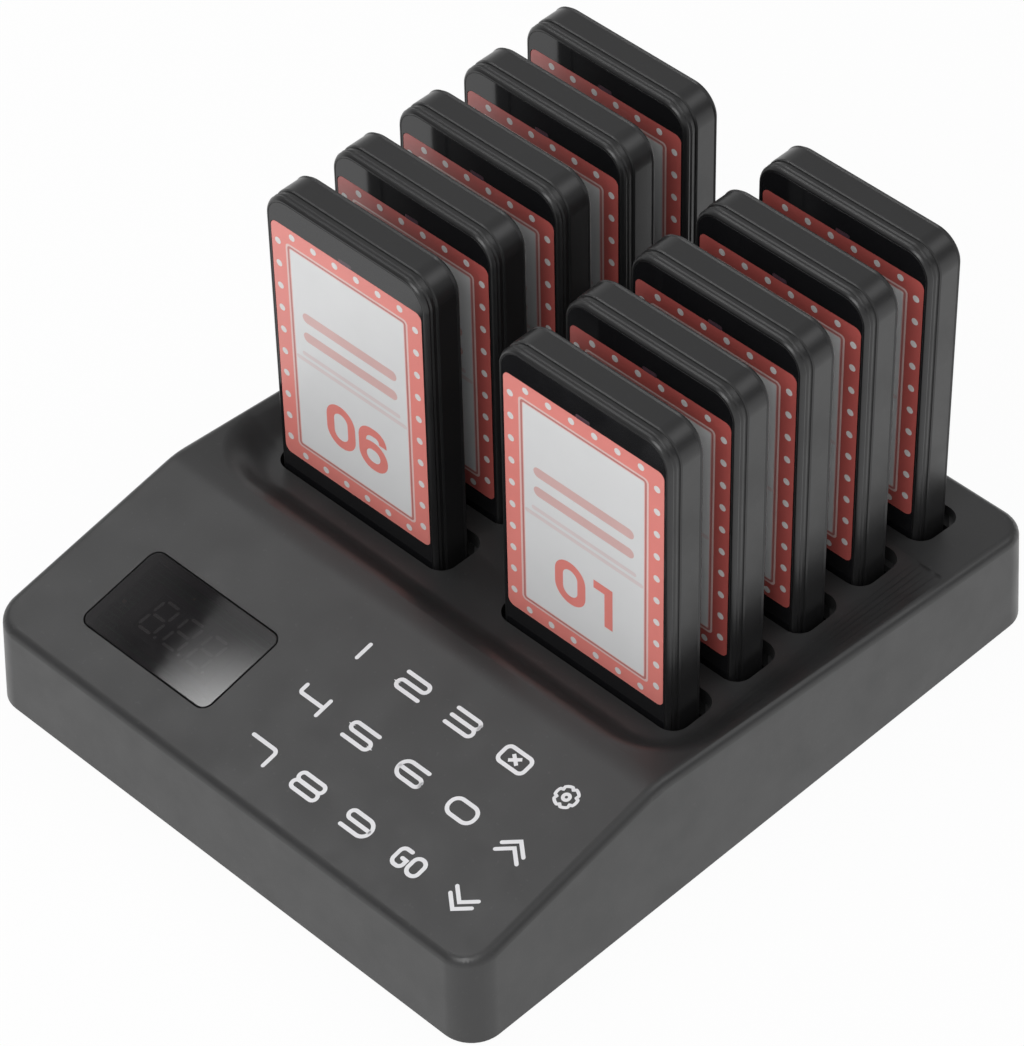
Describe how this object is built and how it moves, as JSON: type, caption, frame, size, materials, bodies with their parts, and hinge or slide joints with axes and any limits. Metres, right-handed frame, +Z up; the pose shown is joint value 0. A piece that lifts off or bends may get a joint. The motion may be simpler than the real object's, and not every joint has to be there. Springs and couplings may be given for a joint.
{
  "type": "guest pager system",
  "caption": "Table-top charging base with a sloped touch panel and a small display window, holding numbered guest pagers upright in open slots.",
  "frame": {"origin": "on the table, under the middle of the base: the bottoms of the rubber feet are at z = 0", "axes": "+X to the right of a person who faces the touch panel, +Y away from that person, +Z up"},
  "size_m": [0.16, 0.19, 0.1172],
  "materials": {
    "housing": "fine matte texture",
    "underside": "matte",
    "window": "smoked gloss",
    "display": "matte",
    "circuit": "satin",
    "foam": "matte",
    "shield": "satin",
    "ceramic": "matte",
    "component": "satin",
    "steel": "satin",
    "rubber": "matte",
    "contact": "satin",
    "ribbon": "satin",
    "pager_face": "gloss",
    "pager_case": "satin",
    "card": "printed satin"
  },
  "bodies": {
    "base": {"top_cover": "housing", "bottom_cover": "underside", "display_window": "window", "display_module": "display", "main_board": "circuit", "touch_pads": "foam", "radio_module": "shield", "antenna": "ceramic", "beeper": "component", "cover_screws": "steel", "rubber_feet": "rubber", "charge_board": "circuit", "contact_springs": "contact", "board_ribbon": "ribbon", "dc_jack": "component", "power_switch": "component"},
    "slider": {"switch_slider": "component"},
    "pager_01": {"pager_01_front_case": "pager_face", "pager_01_card": "card", "pager_01_rear_case": "pager_case", "pager_01_board": "circuit"},
    "pager_02": {"pager_02_front_case": "pager_face", "pager_02_card": "card", "pager_02_rear_case": "pager_case", "pager_02_board": "circuit"},
    "pager_03": {"pager_03_front_case": "pager_face", "pager_03_card": "card", "pager_03_rear_case": "pager_case", "pager_03_board": "circuit"},
    "pager_04": {"pager_04_front_case": "pager_face", "pager_04_card": "card", "pager_04_rear_case": "pager_case", "pager_04_board": "circuit"},
    "pager_05": {"pager_05_front_case": "pager_face", "pager_05_card": "card", "pager_05_rear_case": "pager_case", "pager_05_board": "circuit"},
    "pager_06": {"pager_06_front_case": "pager_face", "pager_06_card": "card", "pager_06_rear_case": "pager_case", "pager_06_board": "circuit"},
    "pager_07": {"pager_07_front_case": "pager_face", "pager_07_card": "card", "pager_07_rear_case": "pager_case", "pager_07_board": "circuit"},
    "pager_08": {"pager_08_front_case": "pager_face", "pager_08_card": "card", "pager_08_rear_case": "pager_case", "pager_08_board": "circuit"},
    "pager_09": {"pager_09_front_case": "pager_face", "pager_09_card": "card", "pager_09_rear_case": "pager_case", "pager_09_board": "circuit"},
    "pager_10": {"pager_10_front_case": "pager_face", "pager_10_card": "card", "pager_10_rear_case": "pager_case", "pager_10_board": "circuit"}
  },
  "joints": [
    {"name": "power_switch_slide", "type": "slide", "parent": "base", "child": "slider", "axis": [1, 0, 0], "range_m": [0, 0.003]},
    {"name": "pager_01_lift", "type": "slide", "parent": "base", "child": "pager_01", "axis": [0, 0, 1], "range_m": [0, 0.11]},
    {"name": "pager_02_lift", "type": "slide", "parent": "base", "child": "pager_02", "axis": [0, 0, 1], "range_m": [0, 0.11]},
    {"name": "pager_03_lift", "type": "slide", "parent": "base", "child": "pager_03", "axis": [0, 0, 1], "range_m": [0, 0.11]},
    {"name": "pager_04_lift", "type": "slide", "parent": "base", "child": "pager_04", "axis": [0, 0, 1], "range_m": [0, 0.11]},
    {"name": "pager_05_lift", "type": "slide", "parent": "base", "child": "pager_05", "axis": [0, 0, 1], "range_m": [0, 0.11]},
    {"name": "pager_06_lift", "type": "slide", "parent": "base", "child": "pager_06", "axis": [0, 0, 1], "range_m": [0, 0.11]},
    {"name": "pager_07_lift", "type": "slide", "parent": "base", "child": "pager_07", "axis": [0, 0, 1], "range_m": [0, 0.11]},
    {"name": "pager_08_lift", "type": "slide", "parent": "base", "child": "pager_08", "axis": [0, 0, 1], "range_m": [0, 0.11]},
    {"name": "pager_09_lift", "type": "slide", "parent": "base", "child": "pager_09", "axis": [0, 0, 1], "range_m": [0, 0.11]},
    {"name": "pager_10_lift", "type": "slide", "parent": "base", "child": "pager_10", "axis": [0, 0, 1], "range_m": [0, 0.11]}
  ]
}
